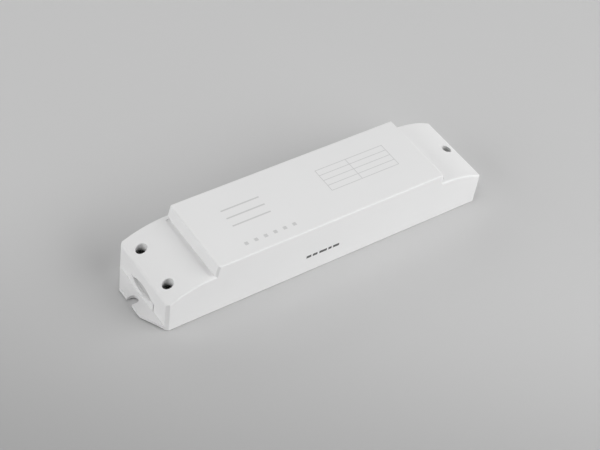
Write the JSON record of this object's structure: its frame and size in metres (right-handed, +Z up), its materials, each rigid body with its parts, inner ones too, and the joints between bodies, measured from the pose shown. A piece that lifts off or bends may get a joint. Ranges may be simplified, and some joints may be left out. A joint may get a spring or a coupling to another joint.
{
  "type": "led driver",
  "caption": "Slim white plastic LED driver with a raised middle, lower curved ends held by sunk screws, cable mouths in the end walls and notched mounting tabs.",
  "frame": {"origin": "under the middle of the base, on the surface that the driver stands on", "axes": "+X along the housing from the mains end to the output end, +Z up out of the base"},
  "size_m": [0.1856, 0.042, 0.0288],
  "materials": {
    "base_plastic": "fine satin, white",
    "cover_plastic": "fine satin, white",
    "dark_screw": "black zinc",
    "board": "green solder mask",
    "block_plastic": "satin grey",
    "plated_steel": "bright zinc",
    "fuse_case": "gloss brown",
    "disc_coating": "gloss blue resin",
    "film_case": "gloss yellow",
    "black_resin": "moulded black",
    "ferrite": "ground dark grey",
    "enamelled_wire": "copper enamel",
    "can_sleeve": "dark blue sleeve",
    "sink_aluminium": "plain rolled",
    "bobbin_plastic": "ivory",
    "winding_tape": "yellow tape",
    "chip_ceramic": "fired ceramic"
  },
  "bodies": {
    "root": {"base": "base_plastic", "cover": "cover_plastic", "cover_screws": "dark_screw", "circuit_board": "board", "mains_terminal_body": "block_plastic", "mains_terminal_clamps": "plated_steel", "mains_terminal_screws": "plated_steel", "output_terminal_body": "block_plastic", "output_terminal_clamps": "plated_steel", "output_terminal_screws": "plated_steel", "fuse": "fuse_case", "varistor": "disc_coating", "filter_capacitor": "film_case", "choke_carrier": "black_resin", "choke_core": "ferrite", "choke_windings": "enamelled_wire", "bridge_rectifier": "black_resin", "bulk_capacitor": "can_sleeve", "switch_heat_sink": "sink_aluminium", "switch_transistor": "black_resin", "transistor_screw": "plated_steel", "transformer_core": "ferrite", "transformer_bobbin": "bobbin_plastic", "transformer_winding": "winding_tape", "insulation_capacitor": "disc_coating", "output_diode": "black_resin", "optocoupler": "black_resin", "output_capacitors": "can_sleeve", "output_choke_core": "ferrite", "output_choke_winding": "enamelled_wire", "control_chip": "black_resin", "chip_parts": "chip_ceramic"}
  },
  "joints": []
}
